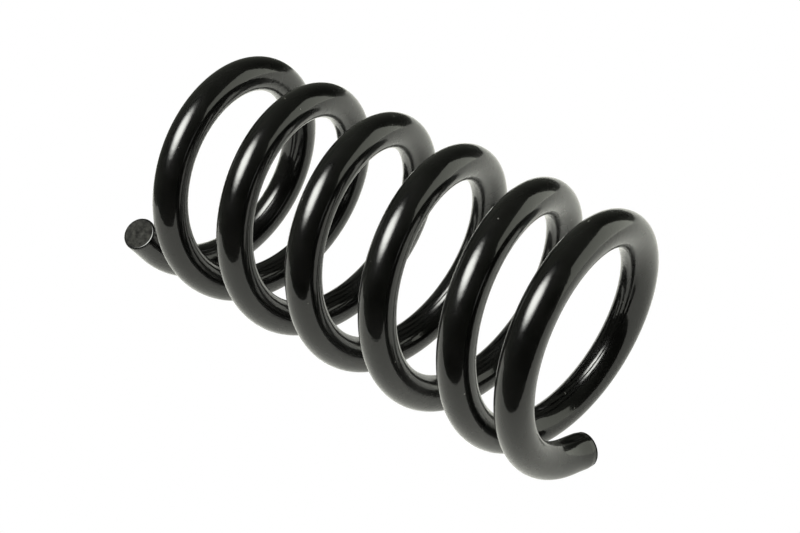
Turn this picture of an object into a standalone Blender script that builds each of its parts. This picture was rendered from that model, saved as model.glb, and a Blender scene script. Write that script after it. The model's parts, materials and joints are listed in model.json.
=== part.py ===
"""Right-hand coil compression spring of a vehicle suspension, lying free on its side.

The real spring is one round steel wire, coiled except for a short straight tail at each end,
with both tails cut square. Here the wire is divided into two end coils, tails included, and the
quarter-turn lengths between them. Two neighbouring
lengths meet at a flat cut and turn against each other about the line through the wire that
is square to the cut. That is how a coiled wire twists when the spring is pressed together,
so the chain of lengths shortens as the spring does.

Frame: +X runs along the spring's axis from its lower end to its upper end, +Z is up, and
the origin lies on the ground under the middle of the spring. An angle around the axis is
in degrees, 0 at the bottom, growing towards +Y and over the top. It keeps growing from turn
to turn, from the lower tail to the upper tail.
"""

import math

import bpy
from mathutils import Vector

# Wire and coil, in metres.
WIRE_DIAMETER = 0.016
MEAN_COIL_DIAMETER = 0.100

# Clear gap between a coil and the next one, in metres.
ACTIVE_COIL_GAP = 0.0257
LOWER_END_GAP = 0.0073
UPPER_END_GAP = 0.0007

# Each end keeps its small gap for the flat turns, then eases out to the active gap.
LOWER_FLAT_TURNS = 0.27
LOWER_EASE_TURNS = 0.85
UPPER_FLAT_TURNS = 0.42
UPPER_EASE_TURNS = 0.62

# Where the coiled wire starts and ends around the axis, in degrees.
LOWER_COIL_ANGLE = -56.4
UPPER_COIL_ANGLE = -14.5
WHOLE_TURNS = 6

# Straight tails beyond the coiled wire. The upper one leans outwards, away from the coil before
# it, and a little upwards, so that it rests on the ground with the coils.
LOWER_TAIL_LENGTH = 0.0136
UPPER_TAIL_LENGTH = 0.0081
UPPER_TAIL_LEAN = (0.122, 0.0, 0.055)

# Cuts between the lengths of wire, in degrees. The upper end coil starts after the last cut.
FIRST_CUT_ANGLE = 135.0
CUT_STEP = 90.0
QUARTERS_IN_END_COILS = 5

# The line that the wire twists about at a cut leads the circle round the spring's axis by this
# much, in degrees. It is less than the wire's own lead, and keeps the coils upright and in line
# as the spring shortens.
TWIST_AXIS_LEAD = 1.65

# Clearance between two neighbouring lengths, and the straight run of wire up to any cut or tip.
CUT_CLEARANCE = 0.0003
STRAIGHT_RUN = 0.002

# The wire has a corner every CORNER_STEP degrees, and none at the bottom, where it lies flat.
CORNER_STEP = 15.0
WIRE_SIDE_RESOLUTION = 4

COAT_COLOR = (0.012, 0.012, 0.011, 1.0)
COAT_ROUGHNESS = 0.18
COLLECTION_NAME = "coil_spring"

WIRE_RADIUS = WIRE_DIAMETER / 2
COIL_RADIUS = MEAN_COIL_DIAMETER / 2
AXIS_HEIGHT = COIL_RADIUS + WIRE_RADIUS
LAST_ANGLE = UPPER_COIL_ANGLE + 360.0 * WHOLE_TURNS
TOTAL_TURNS = (LAST_ANGLE - LOWER_COIL_ANGLE) / 360.0
QUARTER_COUNT = 4 * WHOLE_TURNS - QUARTERS_IN_END_COILS
QUARTER_SIDES = ("top", "front", "bottom", "back")


def eased_turns(turns, ease):
    """Turns of full pitch that an ease-in of the given length has made up after some turns."""
    share = min(max(turns / ease, 0.0), 1.0)
    past = max(turns - ease, 0.0)
    return ease * (share**3 - share**4 / 2) + past


def advance(turns):
    """Distance along the spring's axis from the start of the coiled wire, after some turns."""
    opening = (ACTIVE_COIL_GAP - LOWER_END_GAP) * eased_turns(turns - LOWER_FLAT_TURNS, LOWER_EASE_TURNS)
    closing_start = TOTAL_TURNS - UPPER_FLAT_TURNS - UPPER_EASE_TURNS
    closing = (ACTIVE_COIL_GAP - UPPER_END_GAP) * eased_turns(turns - closing_start, UPPER_EASE_TURNS)
    return (WIRE_DIAMETER + LOWER_END_GAP) * turns + opening - closing


def wire_point(angle, radius=COIL_RADIUS):
    """Point at an angle around the axis, on the wire's centre line unless a radius is given."""
    along = advance((angle - LOWER_COIL_ANGLE) / 360.0) - advance(TOTAL_TURNS) / 2
    turn = math.radians(angle)
    return Vector((along, radius * math.sin(turn), AXIS_HEIGHT - radius * math.cos(turn)))


def twist_axis(angle):
    """Direction, towards the upper end, about which the wire twists at a cut."""
    turn = math.radians(angle)
    lead = math.radians(TWIST_AXIS_LEAD)
    return Vector((math.sin(lead), math.cos(lead) * math.cos(turn), math.cos(lead) * math.sin(turn)))


def wire_direction(angle):
    """Direction of the wire's centre line at an angle, towards the upper end."""
    half_step = 0.01
    return (wire_point(angle + half_step) - wire_point(angle - half_step)).normalized()


def corner_points(start, end):
    """Corners of the wire's centre line between two angles, clear of the straight runs there.

    They lie a little outside the true circle, so that the straights between them touch it.
    """
    corner_radius = COIL_RADIUS / math.cos(math.radians(CORNER_STEP / 2))
    margin = CORNER_STEP / 4
    first = math.ceil((start + margin) / CORNER_STEP - 0.5)
    last = math.floor((end - margin) / CORNER_STEP - 0.5)
    return [wire_point(CORNER_STEP * (index + 0.5), corner_radius) for index in range(first, last + 1)]


def run_from_cut(angle):
    """Straight run of the length of wire that starts at a cut."""
    axis = twist_axis(angle)
    face = wire_point(angle) + axis * CUT_CLEARANCE / 2
    return [face, face + axis * STRAIGHT_RUN]


def run_to_cut(angle):
    """Straight run of the length of wire that ends at a cut."""
    axis = twist_axis(angle)
    face = wire_point(angle) - axis * CUT_CLEARANCE / 2
    return [face - axis * STRAIGHT_RUN, face]


def lower_tip():
    """Middle of the lower tail's square face, and the way that the face looks."""
    outward = -wire_direction(LOWER_COIL_ANGLE)
    return wire_point(LOWER_COIL_ANGLE) + outward * LOWER_TAIL_LENGTH, outward


def upper_tip():
    """Middle of the upper tail's square face, and the way that the face looks."""
    outward = (wire_direction(LAST_ANGLE) + Vector(UPPER_TAIL_LEAN)).normalized()
    return wire_point(LAST_ANGLE) + outward * UPPER_TAIL_LENGTH, outward


def run_from_lower_tip():
    """Straight run behind the lower tail's face."""
    face, outward = lower_tip()
    return [face, face - outward * STRAIGHT_RUN]


def run_to_upper_tip():
    """Straight run up to the upper tail's face."""
    face, outward = upper_tip()
    return [face - outward * STRAIGHT_RUN, face]


def coat_material(name):
    """Gloss black coat."""
    material = bpy.data.materials.new(name)
    material.use_nodes = True
    shader = material.node_tree.nodes["Principled BSDF"]
    shader.inputs["Base Color"].default_value = COAT_COLOR
    shader.inputs["Metallic"].default_value = 0.0
    shader.inputs["Roughness"].default_value = COAT_ROUGHNESS
    return material


def add_wire(name, points, pivot, collection):
    """A length of round wire through the points, with its origin at the pivot."""
    curve = bpy.data.curves.new(name, "CURVE")
    curve.dimensions = "3D"
    curve.bevel_depth = WIRE_RADIUS
    curve.bevel_resolution = WIRE_SIDE_RESOLUTION
    curve.use_fill_caps = True
    spline = curve.splines.new("POLY")
    spline.points.add(len(points) - 1)
    for spline_point, point in zip(spline.points, points):
        spline_point.co = (*(point - pivot), 1.0)
    spline.use_smooth = True
    curve.materials.append(coat_material(name + "_coat"))
    wire = bpy.data.objects.new(name, curve)
    wire.location = pivot
    collection.objects.link(wire)


def add_lower_end_coil(collection):
    """From the lower tip to the first cut."""
    corners = corner_points(LOWER_COIL_ANGLE, FIRST_CUT_ANGLE)
    points = run_from_lower_tip() + corners + run_to_cut(FIRST_CUT_ANGLE)
    add_wire("lower_end_coil", points, points[0], collection)


def add_quarter(index, collection):
    """A quarter turn between two cuts, named for its coil and for the side it lies on."""
    start = FIRST_CUT_ANGLE + CUT_STEP * index
    end = start + CUT_STEP
    points = run_from_cut(start) + corner_points(start, end) + run_to_cut(end)
    name = f"coil_{index // 4 + 1}_{QUARTER_SIDES[index % 4]}"
    add_wire(name, points, wire_point(start), collection)


def add_upper_end_coil(collection):
    """From the last cut to the upper tip."""
    start = FIRST_CUT_ANGLE + CUT_STEP * QUARTER_COUNT
    points = run_from_cut(start) + corner_points(start, LAST_ANGLE) + run_to_upper_tip()
    add_wire("upper_end_coil", points, wire_point(start), collection)


def main():
    for old in list(bpy.data.objects):
        bpy.data.objects.remove(old)
    collection = bpy.data.collections.new(COLLECTION_NAME)
    bpy.context.scene.collection.children.link(collection)
    add_lower_end_coil(collection)
    for index in range(QUARTER_COUNT):
        add_quarter(index, collection)
    add_upper_end_coil(collection)


main()
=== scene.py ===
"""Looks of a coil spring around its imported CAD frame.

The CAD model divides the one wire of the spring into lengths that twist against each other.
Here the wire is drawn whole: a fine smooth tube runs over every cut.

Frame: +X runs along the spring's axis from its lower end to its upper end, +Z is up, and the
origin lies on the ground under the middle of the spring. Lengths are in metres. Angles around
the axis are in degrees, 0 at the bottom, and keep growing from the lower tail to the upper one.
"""

import json
import math

import bpy
import numpy as np
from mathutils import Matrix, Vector, noise


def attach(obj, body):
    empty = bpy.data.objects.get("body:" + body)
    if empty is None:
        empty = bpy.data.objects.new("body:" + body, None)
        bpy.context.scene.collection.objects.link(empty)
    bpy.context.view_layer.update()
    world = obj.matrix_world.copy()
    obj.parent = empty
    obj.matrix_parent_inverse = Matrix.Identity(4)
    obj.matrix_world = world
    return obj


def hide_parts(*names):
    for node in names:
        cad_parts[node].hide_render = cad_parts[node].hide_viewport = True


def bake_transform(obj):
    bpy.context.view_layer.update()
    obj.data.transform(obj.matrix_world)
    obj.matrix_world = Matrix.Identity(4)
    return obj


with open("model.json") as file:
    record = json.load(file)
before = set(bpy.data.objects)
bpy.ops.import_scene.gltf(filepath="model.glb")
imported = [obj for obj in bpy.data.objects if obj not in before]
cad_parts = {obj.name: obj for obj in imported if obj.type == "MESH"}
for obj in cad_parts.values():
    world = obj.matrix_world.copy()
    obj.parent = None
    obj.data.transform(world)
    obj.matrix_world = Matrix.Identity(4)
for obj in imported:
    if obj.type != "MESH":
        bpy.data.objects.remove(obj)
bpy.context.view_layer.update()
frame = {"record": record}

# The wire's own sizes, as the part's source has them.
WIRE_DIAMETER = 0.016
MEAN_COIL_DIAMETER = 0.100
ACTIVE_PITCH = WIRE_DIAMETER + 0.0257
LOWER_END_PITCH = WIRE_DIAMETER + 0.0073
UPPER_END_PITCH = WIRE_DIAMETER + 0.0007
LOWER_FLAT_TURNS, LOWER_EASE_TURNS = 0.27, 0.85
UPPER_FLAT_TURNS, UPPER_EASE_TURNS = 0.42, 0.62
FIRST_CUT_ANGLE = 135.0
CUT_STEP = 90.0

# The two ends, by side: -1 is the lower end, 1 the upper one. The coiled wire ends at an angle.
# A straight tail goes on from there, and leans by so much per metre of its length.
COIL_END_ANGLE = {-1: -56.4, 1: -14.5 + 360.0 * 6}
TAIL_LENGTH = {-1: 0.0136, 1: 0.0081}
TAIL_LEAN = {-1: np.zeros(3), 1: np.array([0.122, 0.0, 0.055])}

WIRE_RADIUS = WIRE_DIAMETER / 2
COIL_RADIUS = MEAN_COIL_DIAMETER / 2
AXIS_HEIGHT = COIL_RADIUS + WIRE_RADIUS
COILED_TURNS = (COIL_END_ANGLE[1] - COIL_END_ANGLE[-1]) / 360.0

# Finer shape of the ends. The lean comes in over TAIL_BEND, half of it on the coiled wire.
# The upper end is EXTRA_LENGTH longer than its CAD solid. It tapers by TAPER degrees, which
# come in over TAPER_BEND and hold over TAPER_LENGTH. The last stretch of its edge, as long as
# the edge length below, is painted shade: a matt near-black that mirrors nothing, standing in
# for the dark room that its rim reflects.
# The lower cut face is slanted. It lags behind the tip by so much per metre away from the
# spring's axis and across, and the side of the wire leads up to it over SLANT_LENGTH.
TAIL_BEND = 0.007
RIM_RADIUS = {-1: 0.0009, 1: 0.0005}
EXTRA_LENGTH = {-1: 0.0, 1: 0.001}
TAPER = 7.0
TAPER_BEND = 0.0004
TAPER_LENGTH = 0.0026
PAINTED_SHADE_EDGE_LENGTH = 0.0014
FACE_SLANT = {-1: (0.04, -0.144), 1: (0.0, 0.0)}
SLANT_LENGTH = 0.006

# Hollows that the shear leaves in a cut face: a broad waviness with a finer one over it, both
# in waves per metre, that fades out towards the rim over HOLLOW_FADE of the face's radius. Each
# is a slice of a random field in space, and the two ends take the broad one at other heights.
HOLLOW_DEPTH = 0.00012
HOLLOW_OFFSET = 0.8
HOLLOW_FADE = 0.25
BROAD_WAVES, BROAD_SLICE = 260, 3.7
FINE_WAVES, FINE_SLICE = 700, 9.1
FINE_SHARE = 0.5

# Fineness of the drawn wire: sides, degrees from ring to ring, and rings of the end's shapes.
SIDES = 72
RING_STEP = 1.5
TAIL_RINGS = 24
TAPER_BEND_RINGS = 4
TAPER_RINGS = 8
RIM_RINGS = 8
FACE_RINGS = 14

# Coat: a clear gloss over a haze whose roughness varies by HAZE_CLOUDING either way, with
# specks of dust and an orange peel. Scales are repeats per metre, and each noise has so many
# finer layers as its detail. A speck fades out from its core to its edge, in repeats. A pair
# of noise values, from 0 to 1, goes with each pair of a dark and a light color.
IOR = 1.5
GLOSS_ROUGHNESS = 0.085
HAZE_LEVEL = 0.11
HAZE_ROUGHNESS = 0.3
HAZE_CLOUDING = 0.07
CLOUD_SCALE, CLOUD_DETAIL = 70, 3
CLOUD_RANGE = (0.3, 0.7)
COAT_DARK = (0.0008, 0.0008, 0.0007)
COAT_LIGHT = (0.0028, 0.0028, 0.0026)
SPECK_SCALE = 105
SPECK_CORE, SPECK_EDGE = 0.028, 0.05
SPECK_COLOR = (0.13, 0.13, 0.12, 1)
PEEL_SCALE, PEEL_DETAIL = 330, 2
PEEL_STRENGTH = 0.04
PEEL_HEIGHT = 0.001

# Coat on the cut faces. The upper end's edge is painted shade: a matt near-black that mirrors
# nothing, standing in for the dark room that its rim reflects.
CUT_ROUGHNESS = 0.42
CUT_LEVEL = 0.07
CUT_SCALE, CUT_DETAIL = 420, 4
CUT_RANGE = (0.35, 0.75)
CUT_DARK = (0.004, 0.004, 0.0036)
CUT_LIGHT = (0.035, 0.035, 0.031)
EDGE_ROUGHNESS = 0.6
EDGE_SHADE_COLOR = (0.004, 0.004, 0.004, 1)

# Table top that the coat mirrors, with the floor beyond it that the coat doesn't.
TABLE_CORNERS = [(-0.275, -0.32), (0.9, 0.15), (0.9, 1.1), (-0.275, 1.1)]
FLOOR_REACH = 6.0
FLOOR_COLOR = (0.3, 0.3, 0.285, 1)
FLOOR_ROUGHNESS = 0.9
FLOOR_GLOW_COLOR = (1.0, 1.01, 0.93, 1)
FLOOR_GLOW = 0.55

# Softbox above the spring's left front: a bright middle in a wide halo. Each glow is given by
# its strength, where its fading starts and where it ends, in shares of the panel's radius.
SOFTBOX_AZIMUTH, SOFTBOX_ELEVATION = -162, 55
SOFTBOX_DISTANCE = 1.2
SOFTBOX_RADII = (0.88, 0.82)
SOFTBOX_SIDES = 36
SOFTBOX_COLOR = (1.0, 1.01, 0.96, 1)
SOFTBOX_MIDDLE = (16.0, 0.15, 0.70)
SOFTBOX_HALO = (2.4, 0.30, 0.85)

# Upright white card beyond the spring's right end.
CARD_AZIMUTH = 45
CARD_DISTANCE = 0.8927
CARD_RISE = 0.33
CARD_SIZE = (0.95, 0.80)
CARD_RADIANCE = 1.36
CARD_COLOR = (1.0, 1.03, 0.9)

# Dark room, a little lighter overhead and to the left. Each glow is given by its strength, and
# by the heights, or the places along X, of a unit vector where its fading starts and ends.
ROOM_COLOR = (1.0, 1.05, 0.88, 1)
ROOM_RADIANCE = 0.03
OVERHEAD_GLOW = (0.07, 1.0, 0.3)
LEFT_GLOW = (0.08, -1.0, 0.1)
WALL_COLOR = (1.0, 1.0, 0.99, 1)

SENSOR_WIDTH = 36
FOCAL_LENGTH = 70.55
CAMERA_POSITION = (0.37994, -0.43276, 0.45330)
CAMERA_DIRECTION = (-0.53404, 0.61959, -0.57525)


# Centre line of the wire -----------------------------------------------------------

def eased_turns(turns, ease):
    """Turns of full pitch that an ease-in has made up after some turns."""
    share = np.clip(turns / ease, 0.0, 1.0)
    return ease * (share**3 - share**4 / 2) + np.maximum(turns - ease, 0.0)


def advance(turns):
    """Distance along the spring's axis from the start of the coiled wire, after some turns."""
    opened = eased_turns(turns - LOWER_FLAT_TURNS, LOWER_EASE_TURNS)
    closing_start = COILED_TURNS - UPPER_FLAT_TURNS - UPPER_EASE_TURNS
    closed = eased_turns(turns - closing_start, UPPER_EASE_TURNS)
    opening = (ACTIVE_PITCH - LOWER_END_PITCH) * opened
    closing = (ACTIVE_PITCH - UPPER_END_PITCH) * closed
    return LOWER_END_PITCH * turns + opening - closing


def outward_at(angle):
    """Unit vectors away from the spring's axis, at angles around it."""
    turn = np.radians(angle)
    return np.stack([np.zeros_like(turn), np.sin(turn), -np.cos(turn)], -1)


def wire_point(angle):
    """Points of the wire's centre line at angles around the axis."""
    angle = np.asarray(angle, float)
    along = advance((angle - COIL_END_ANGLE[-1]) / 360.0) - advance(COILED_TURNS) / 2
    turn = np.radians(angle)
    side = COIL_RADIUS * np.sin(turn)
    height = AXIS_HEIGHT - COIL_RADIUS * np.cos(turn)
    return np.stack([along, side, height], -1)


def wire_frame(angle):
    """Unit vectors along the wire, away from the spring's axis, and across both."""
    half_step = 0.01
    along = wire_point(angle + half_step) - wire_point(angle - half_step)
    along /= np.linalg.norm(along, axis=-1, keepdims=True)
    outward = outward_at(angle)
    return along, outward, np.cross(along, outward)


def tail_angle(side, distances):
    """Angles around the axis near an end. On the straight tail the angle no longer changes."""
    coiled = np.degrees(np.minimum(distances, 0) / COIL_RADIUS)
    return COIL_END_ANGLE[side] + side * coiled


def tail_path(side, distances):
    """Points of the centre line near an end, by distance past the end of the coiled wire.

    Negative distances lie on the coiled wire.
    """
    along, _, _ = wire_frame(np.array([COIL_END_ANGLE[side]]))
    end = wire_point(COIL_END_ANGLE[side])
    straight = end + side * along * np.maximum(distances, 0)[:, None]
    coiled = wire_point(tail_angle(side, distances))
    centres = np.where(distances[:, None] > 0, straight, coiled)
    bent = np.clip(distances + TAIL_BEND / 2, 0, TAIL_BEND)
    leaned = bent**2 / (2 * TAIL_BEND) + np.maximum(distances - TAIL_BEND / 2, 0)
    return centres + TAIL_LEAN[side] * leaned[:, None]


def tail_frame(side, distances):
    """Unit vectors of the tail, as wire_frame gives them for the coiled wire."""
    half_step = 1e-5
    ahead = tail_path(side, distances + half_step)
    behind = tail_path(side, distances - half_step)
    along = side * (ahead - behind)
    along /= np.linalg.norm(along, axis=-1, keepdims=True)
    outward = outward_at(tail_angle(side, distances))
    outward -= along * (along * outward).sum(-1, keepdims=True)
    outward /= np.linalg.norm(outward, axis=-1, keepdims=True)
    return along, outward, np.cross(along, outward)


# Materials -------------------------------------------------------------------------

def new_material(name):
    """Material with its node tree and its surface shader."""
    material = bpy.data.materials.new(name)
    material.use_nodes = True
    tree = material.node_tree
    return material, tree, tree.nodes["Principled BSDF"]


def ramp_node(tree, source, low, high, low_value, high_value):
    """Colors from one to another, as the source goes from low to high."""
    ramp = tree.nodes.new("ShaderNodeValToRGB")
    ramp.color_ramp.elements[0].position = low
    ramp.color_ramp.elements[0].color = (*low_value, 1)
    ramp.color_ramp.elements[1].position = high
    ramp.color_ramp.elements[1].color = (*high_value, 1)
    tree.links.new(source, ramp.inputs["Fac"])
    return ramp.outputs["Color"]


def noise_node(tree, coords, scale, detail):
    """Smooth random values over the piece."""
    node = tree.nodes.new("ShaderNodeTexNoise")
    node.inputs["Scale"].default_value = scale
    node.inputs["Detail"].default_value = detail
    tree.links.new(coords.outputs["Object"], node.inputs["Vector"])
    return node.outputs["Fac"]


def falloff_node(tree, distance, strength, inner, outer):
    """Strength up to an inner distance, fading smoothly to nothing at an outer one."""
    node = tree.nodes.new("ShaderNodeMapRange")
    node.interpolation_type = "SMOOTHSTEP"
    node.inputs["From Min"].default_value = inner
    node.inputs["From Max"].default_value = outer
    node.inputs["To Min"].default_value = strength
    node.inputs["To Max"].default_value = 0.0
    tree.links.new(distance, node.inputs["Value"])
    return node.outputs["Result"]


def sum_node(tree, first, second):
    """Sum of two values."""
    node = tree.nodes.new("ShaderNodeMath")
    node.operation = "ADD"
    tree.links.new(first, node.inputs[0])
    tree.links.new(second, node.inputs[1])
    return node.outputs["Value"]


def coat_material():
    """Gloss black powder coat: clear gloss over a cloudy haze, with orange peel and specks."""
    material, tree, shader = new_material("gloss_black_coat")
    shader.inputs["IOR"].default_value = IOR
    shader.inputs["Specular IOR Level"].default_value = HAZE_LEVEL
    shader.inputs["Coat Weight"].default_value = 1.0
    shader.inputs["Coat Roughness"].default_value = GLOSS_ROUGHNESS
    shader.inputs["Coat IOR"].default_value = IOR
    coords = tree.nodes.new("ShaderNodeTexCoord")

    cloud = noise_node(tree, coords, CLOUD_SCALE, CLOUD_DETAIL)
    smooth = (HAZE_ROUGHNESS - HAZE_CLOUDING,) * 3
    rough = (HAZE_ROUGHNESS + HAZE_CLOUDING,) * 3
    roughness = ramp_node(tree, cloud, *CLOUD_RANGE, smooth, rough)
    tree.links.new(roughness, shader.inputs["Roughness"])

    dust = tree.nodes.new("ShaderNodeTexVoronoi")
    dust.inputs["Scale"].default_value = SPECK_SCALE
    tree.links.new(coords.outputs["Object"], dust.inputs["Vector"])
    speck = ramp_node(tree, dust.outputs["Distance"], SPECK_CORE, SPECK_EDGE, (1, 1, 1), (0, 0, 0))
    # A mix node's color sockets share their names with its other ones, so numbers pick them.
    mix = tree.nodes.new("ShaderNodeMix")
    mix.data_type = "RGBA"
    plain, specked, mixed = mix.inputs[6], mix.inputs[7], mix.outputs[2]
    tree.links.new(speck, mix.inputs["Factor"])
    tree.links.new(ramp_node(tree, cloud, *CLOUD_RANGE, COAT_DARK, COAT_LIGHT), plain)
    specked.default_value = SPECK_COLOR
    tree.links.new(mixed, shader.inputs["Base Color"])

    peel = tree.nodes.new("ShaderNodeBump")
    peel.inputs["Strength"].default_value = PEEL_STRENGTH
    peel.inputs["Distance"].default_value = PEEL_HEIGHT
    tree.links.new(noise_node(tree, coords, PEEL_SCALE, PEEL_DETAIL), peel.inputs["Height"])
    tree.links.new(peel.outputs["Normal"], shader.inputs["Normal"])
    tree.links.new(peel.outputs["Normal"], shader.inputs["Coat Normal"])
    return material


def cut_coat_material():
    """The same coat over the sheared faces, duller and mottled."""
    material, tree, shader = new_material("dull_coat_on_cut")
    shader.inputs["Roughness"].default_value = CUT_ROUGHNESS
    shader.inputs["IOR"].default_value = IOR
    shader.inputs["Specular IOR Level"].default_value = CUT_LEVEL
    mottle = noise_node(tree, tree.nodes.new("ShaderNodeTexCoord"), CUT_SCALE, CUT_DETAIL)
    color = ramp_node(tree, mottle, *CUT_RANGE, CUT_DARK, CUT_LIGHT)
    tree.links.new(color, shader.inputs["Base Color"])
    return material


def painted_shade_edge_material():
    """Painted shade on the upper sheared face's edge: a matt near-black that mirrors nothing, for
    the dark room that the rim reflects.
    """
    material, _, shader = new_material("painted_shade_sheared_edge")
    shader.inputs["Base Color"].default_value = EDGE_SHADE_COLOR
    shader.inputs["Roughness"].default_value = EDGE_ROUGHNESS
    shader.inputs["Specular IOR Level"].default_value = 0.0
    return material


def floor_material():
    """White table top, plain white to the camera and dimmer in reflections."""
    material, tree, shader = new_material("white_table")
    shader.inputs["Base Color"].default_value = FLOOR_COLOR
    shader.inputs["Roughness"].default_value = FLOOR_ROUGHNESS
    shader.inputs["Specular IOR Level"].default_value = 0.0
    shader.inputs["Emission Color"].default_value = FLOOR_GLOW_COLOR
    shader.inputs["Emission Strength"].default_value = FLOOR_GLOW
    white = tree.nodes.new("ShaderNodeEmission")
    white.inputs["Color"].default_value = (1, 1, 1, 1)
    path = tree.nodes.new("ShaderNodeLightPath")
    mix = tree.nodes.new("ShaderNodeMixShader")
    tree.links.new(path.outputs["Is Camera Ray"], mix.inputs["Fac"])
    tree.links.new(shader.outputs["BSDF"], mix.inputs[1])
    tree.links.new(white.outputs["Emission"], mix.inputs[2])
    tree.links.new(mix.outputs["Shader"], tree.nodes["Material Output"].inputs["Surface"])
    return material


def softbox_material():
    """Lit cloth, bright in the middle and fading towards its edges."""
    material = bpy.data.materials.new("softbox_cloth")
    material.use_nodes = True
    tree = material.node_tree
    tree.nodes.clear()
    output = tree.nodes.new("ShaderNodeOutputMaterial")
    glow = tree.nodes.new("ShaderNodeEmission")
    glow.inputs["Color"].default_value = SOFTBOX_COLOR
    coords = tree.nodes.new("ShaderNodeTexCoord")
    length = tree.nodes.new("ShaderNodeVectorMath")
    length.operation = "LENGTH"
    tree.links.new(coords.outputs["Object"], length.inputs[0])
    distance = length.outputs["Value"]
    middle = falloff_node(tree, distance, *SOFTBOX_MIDDLE)
    halo = falloff_node(tree, distance, *SOFTBOX_HALO)
    tree.links.new(sum_node(tree, middle, halo), glow.inputs["Strength"])
    tree.links.new(glow.outputs["Emission"], output.inputs["Surface"])
    return material


# Meshes ----------------------------------------------------------------------------

def add_object(name, mesh, material):
    """Object in the scene with one material."""
    piece = bpy.data.objects.new(name, mesh)
    bpy.context.scene.collection.objects.link(piece)
    mesh.materials.append(material)
    return piece


def spokes_of(outward, across):
    """Unit vectors from the centre line to the sides of the tube, a row for each ring."""
    turn = np.arange(SIDES) * 2 * math.pi / SIDES
    outward_part = outward[:, None] * np.cos(turn)[None, :, None]
    across_part = across[:, None] * np.sin(turn)[None, :, None]
    return outward_part + across_part


def ring_quads(rings):
    """Faces between each ring of vertices and the next one."""
    return [
        (ring * SIDES + side, ring * SIDES + (side + 1) % SIDES,
         (ring + 1) * SIDES + (side + 1) % SIDES, (ring + 1) * SIDES + side)
        for ring in range(rings - 1)
        for side in range(SIDES)
    ]


def tube_mesh(name, points, normals):
    """Open tube through rings of points, with exact normals."""
    mesh = bpy.data.meshes.new(name)
    mesh.from_pydata(points.reshape(-1, 3).tolist(), [], ring_quads(len(points)))
    mesh.shade_smooth()
    mesh.normals_split_custom_set_from_vertices(normals.reshape(-1, 3).tolist())
    return mesh


def end_profile(side):
    """Distances back from the cut face, radii and slopes of the rings that shape an end.

    The lower end has a rounded rim. The upper one is hammered to a slight taper behind its rim.
    """
    slopes, lengths = [0.0], []
    if side > 0:
        slopes += [TAPER * (ring + 1) / TAPER_BEND_RINGS for ring in range(TAPER_BEND_RINGS)]
        lengths += [TAPER_BEND / TAPER_BEND_RINGS] * TAPER_BEND_RINGS
        slopes += [TAPER] * TAPER_RINGS
        lengths += [TAPER_LENGTH / TAPER_RINGS] * TAPER_RINGS
    rim_turn = 90 - slopes[-1]
    slopes += [slopes[-1] + rim_turn * (ring + 1) / RIM_RINGS for ring in range(RIM_RINGS)]
    lengths += [RIM_RADIUS[side] * math.radians(rim_turn) / RIM_RINGS] * RIM_RINGS
    slopes, lengths = np.radians(slopes), np.array(lengths)
    middle = (slopes[1:] + slopes[:-1]) / 2
    along = np.concatenate([[0], np.cumsum(lengths * np.cos(middle))])
    inward = np.concatenate([[0], np.cumsum(lengths * np.sin(middle))])
    return along - along[-1], WIRE_RADIUS - inward, slopes


def hollow_depth(x, y, side, share):
    """How far a cut face lies out at a point, at some share of the radius from its middle."""
    broad = noise.noise(Vector((x * BROAD_WAVES, y * BROAD_WAVES, BROAD_SLICE * side)))
    fine = noise.noise(Vector((x * FINE_WAVES, y * FINE_WAVES, FINE_SLICE)))
    fade = min(1.0, (1 - share) / HOLLOW_FADE)
    return HOLLOW_DEPTH * fade * (broad + FINE_SHARE * fine - HOLLOW_OFFSET)


# The wire --------------------------------------------------------------------------

coat = coat_material()
painted_shade_edge = painted_shade_edge_material()
cut_coat = cut_coat_material()

bodies = list(frame["record"]["behaviour"]["bodies"].values())
body_names = list(frame["record"]["behaviour"]["bodies"])
nodes = [members[0] for members in bodies]
cut_angles = FIRST_CUT_ANGLE + CUT_STEP * np.arange(len(nodes) - 1)


def add_wire_over_cut(index):
    """Wire from halfway before a cut to halfway after it."""
    cut = cut_angles[index]
    angles = np.linspace(cut - CUT_STEP / 2, cut + CUT_STEP / 2, round(CUT_STEP / RING_STEP) + 1)
    _, outward, across = wire_frame(angles)
    spokes = spokes_of(outward, across)
    points = wire_point(angles)[:, None] + spokes * WIRE_RADIUS
    name = f"wire_{index + 1:02d}"
    piece = add_object(name, tube_mesh(name, points, spokes), coat)
    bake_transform(piece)
    if index + 1 < len(nodes) - 1:
        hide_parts(nodes[index + 1])


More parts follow.
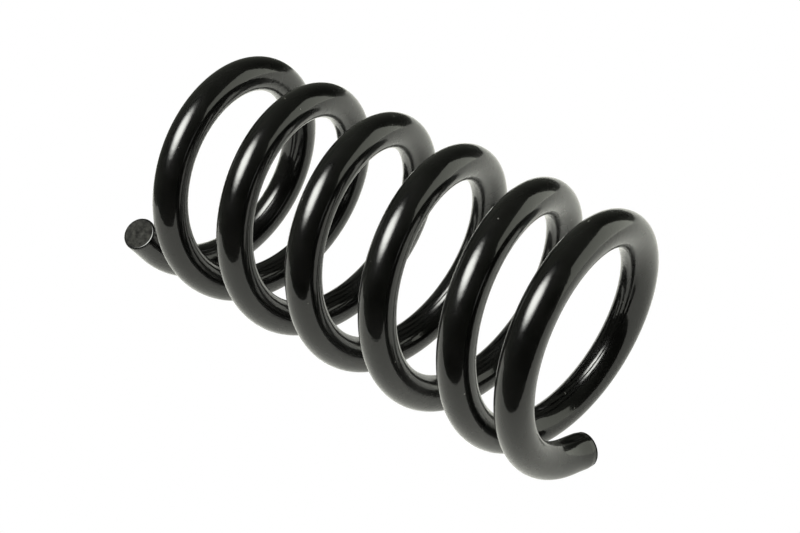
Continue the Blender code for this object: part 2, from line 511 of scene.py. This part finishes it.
def add_end(name, side, body, node, coiled_from):
    """End of the wire: coiled from an angle on, then a straight tail with a shaped edge."""
    tail = TAIL_LENGTH[side] + EXTRA_LENGTH[side]
    back, end_radii, end_slopes = end_profile(side)
    coiled_turn = abs(math.radians(coiled_from - COIL_END_ANGLE[side]))
    distances = np.concatenate([
        np.linspace(-coiled_turn * COIL_RADIUS, -TAIL_BEND,
                    round(coiled_turn / math.radians(RING_STEP)))[:-1],
        np.linspace(-TAIL_BEND, tail + back[0], TAIL_RINGS)[:-1],
        tail + back,
    ])
    plain_rings = len(distances) - len(back)
    radii = np.concatenate([np.full(plain_rings, WIRE_RADIUS), end_radii])
    slopes = np.concatenate([np.zeros(plain_rings), end_slopes])
    along, outward, across = tail_frame(side, distances)
    spokes = spokes_of(outward, across)

    # Points slide along the wire as the face's slant comes in, and the rim's normals with them.
    slant = -(FACE_SLANT[side][0] * outward + FACE_SLANT[side][1] * across)
    share = np.clip((distances - tail + SLANT_LENGTH) / (SLANT_LENGTH + back[0]), 0, 1)
    offsets = spokes * radii[:, None, None]
    slide = (offsets * slant[:, None]).sum(-1, keepdims=True) * share[:, None, None]
    points = tail_path(side, distances)[:, None] + offsets + side * along[:, None] * slide
    normals = spokes * np.cos(slopes)[:, None, None]
    normals = normals + ((side * along - slant) * np.sin(slopes)[:, None])[:, None]
    if side < 0:
        points, normals = points[::-1], normals[::-1]
    piece = add_object(name, tube_mesh(name, points, normals), coat)
    if side > 0:
        piece.data.materials.append(painted_shade_edge)
        # The last stretch of the edge takes the painted shade: near-black that mirrors nothing.
        for face in piece.data.polygons:
            painted_shade = distances[face.index // SIDES] > tail - PAINTED_SHADE_EDGE_LENGTH
            face.material_index = int(painted_shade)
    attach(piece, body)
    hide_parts(node)
    add_cut_face(name + "_cut", side, body, tail, radii[-1], along[-1], outward[-1], across[-1])


def add_cut_face(name, side, body, tail, rim_radius, along, outward, across):
    """Sheared face of the wire's end: nearly flat, with shallow hollows from the shear."""
    centre = tail_path(side, np.array([tail]))[0]
    vertices = []
    for ring in range(FACE_RINGS + 1):
        share = 1 - ring / FACE_RINGS
        for step in range(SIDES if ring < FACE_RINGS else 1):
            turn = 2 * math.pi * step / SIDES
            x, y = rim_radius * share * math.cos(turn), rim_radius * share * math.sin(turn)
            lift = hollow_depth(x, y, side, share)
            lift -= FACE_SLANT[side][0] * x + FACE_SLANT[side][1] * y
            vertices.append(tuple(centre + outward * x + across * y + side * along * lift))
    inner, middle = (FACE_RINGS - 1) * SIDES, FACE_RINGS * SIDES
    faces = ring_quads(FACE_RINGS)
    faces += [(inner + step, inner + (step + 1) % SIDES, middle) for step in range(SIDES)]
    if side < 0:
        faces = [face[::-1] for face in faces]
    mesh = bpy.data.meshes.new(name)
    mesh.from_pydata(vertices, [], faces)
    mesh.shade_smooth()
    face_piece = add_object(name, mesh, cut_coat)
    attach(face_piece, body)


for cut_index in range(len(cut_angles)):
    add_wire_over_cut(cut_index)
add_end("lower_end", -1, body_names[0], nodes[0], cut_angles[0] - CUT_STEP / 2)
add_end("upper_end", 1, body_names[-1], nodes[-1], cut_angles[-1] + CUT_STEP / 2)


# Floor, lights, surroundings -------------------------------------------------------

def direction(azimuth, elevation):
    """Unit vector at a compass angle from +Y towards +X, and a height angle, in degrees."""
    a, e = math.radians(azimuth), math.radians(elevation)
    return Vector((math.sin(a) * math.cos(e), math.cos(a) * math.cos(e), math.sin(e)))


def add_floor():
    """Overexposed white table top; past its edges a floor that the coat doesn't mirror."""
    material = floor_material()
    table = bpy.data.meshes.new("table_top")
    table.from_pydata([(x, y, 0.0) for x, y in TABLE_CORNERS], [], [(0, 1, 2, 3)])
    table_obj = add_object("table_top", table, material)
    outer = [(-FLOOR_REACH, -FLOOR_REACH), (FLOOR_REACH, -FLOOR_REACH),
             (FLOOR_REACH, FLOOR_REACH), (-FLOOR_REACH, FLOOR_REACH)]
    surround = bpy.data.meshes.new("floor_beyond")
    surround.from_pydata([(x, y, 0.0) for x, y in TABLE_CORNERS + outer], [],
                         [(4 + i, 4 + (i + 1) % 4, (i + 1) % 4, i) for i in range(4)])
    surround_obj = add_object("floor_beyond", surround, material)
    surround_obj.visible_glossy = False


def add_softbox():
    """Soft light above the spring's left front, as a glowing oval panel."""
    turns = [2 * math.pi * step / SOFTBOX_SIDES for step in range(SOFTBOX_SIDES)]
    mesh = bpy.data.meshes.new("softbox")
    mesh.from_pydata([(math.cos(turn), math.sin(turn), 0.0) for turn in turns], [],
                     [tuple(range(SOFTBOX_SIDES))])
    softbox = add_object("softbox", mesh, softbox_material())
    middle = Vector((0, 0, AXIS_HEIGHT))
    way = direction(SOFTBOX_AZIMUTH, SOFTBOX_ELEVATION)
    softbox.location = middle + way * SOFTBOX_DISTANCE
    softbox.rotation_euler = (-way).to_track_quat("-Z", "Y").to_euler()
    softbox.scale = (*SOFTBOX_RADII, 1.0)
    softbox.visible_camera = False


def add_white_card():
    """Upright card beyond the spring's right end, as a light with an even brightness."""
    data = bpy.data.lights.new("white_card", "AREA")
    data.shape = "RECTANGLE"
    data.size, data.size_y = CARD_SIZE
    data.energy = CARD_RADIANCE * math.pi * (CARD_SIZE[0] * CARD_SIZE[1])
    data.color = CARD_COLOR
    card = bpy.data.objects.new("white_card", data)
    bpy.context.scene.collection.objects.link(card)
    card.location = direction(CARD_AZIMUTH, 0) * CARD_DISTANCE
    card.location.z = AXIS_HEIGHT + CARD_RISE
    card.rotation_euler = (math.radians(90), 0, math.radians(180 - CARD_AZIMUTH))
    card.visible_camera = False


def add_world():
    """Dark studio round the table; the camera itself sees a pale wall."""
    world = bpy.data.worlds.new("studio")
    world.use_nodes = True
    bpy.context.scene.world = world
    tree = world.node_tree
    tree.nodes.clear()
    output = tree.nodes.new("ShaderNodeOutputWorld")
    mix = tree.nodes.new("ShaderNodeMixShader")
    path = tree.nodes.new("ShaderNodeLightPath")
    dark = tree.nodes.new("ShaderNodeBackground")
    dark.inputs["Color"].default_value = ROOM_COLOR
    coords = tree.nodes.new("ShaderNodeTexCoord")
    axes = tree.nodes.new("ShaderNodeSeparateXYZ")
    tree.links.new(coords.outputs["Generated"], axes.inputs["Vector"])
    room = tree.nodes.new("ShaderNodeValue")
    room.outputs["Value"].default_value = ROOM_RADIANCE
    overhead = falloff_node(tree, axes.outputs["Z"], *OVERHEAD_GLOW)
    left = falloff_node(tree, axes.outputs["X"], *LEFT_GLOW)
    lit_room = sum_node(tree, sum_node(tree, room.outputs["Value"], overhead), left)
    tree.links.new(lit_room, dark.inputs["Strength"])
    pale = tree.nodes.new("ShaderNodeBackground")
    pale.inputs["Color"].default_value = WALL_COLOR
    tree.links.new(path.outputs["Is Camera Ray"], mix.inputs["Fac"])
    tree.links.new(dark.outputs["Background"], mix.inputs[1])
    tree.links.new(pale.outputs["Background"], mix.inputs[2])
    tree.links.new(mix.outputs["Shader"], output.inputs["Surface"])


def add_camera():
    """Camera above the spring's right front, looking down at it."""
    data = bpy.data.cameras.new("camera")
    data.sensor_width = SENSOR_WIDTH
    data.lens = FOCAL_LENGTH
    camera = bpy.data.objects.new("camera", data)
    bpy.context.scene.collection.objects.link(camera)
    camera.location = CAMERA_POSITION
    camera.rotation_euler = Vector(CAMERA_DIRECTION).to_track_quat("-Z", "Y").to_euler()
    bpy.context.scene.camera = camera


add_floor()
add_softbox()
add_white_card()
add_world()
add_camera()
bpy.context.scene.view_settings.view_transform = "Standard"
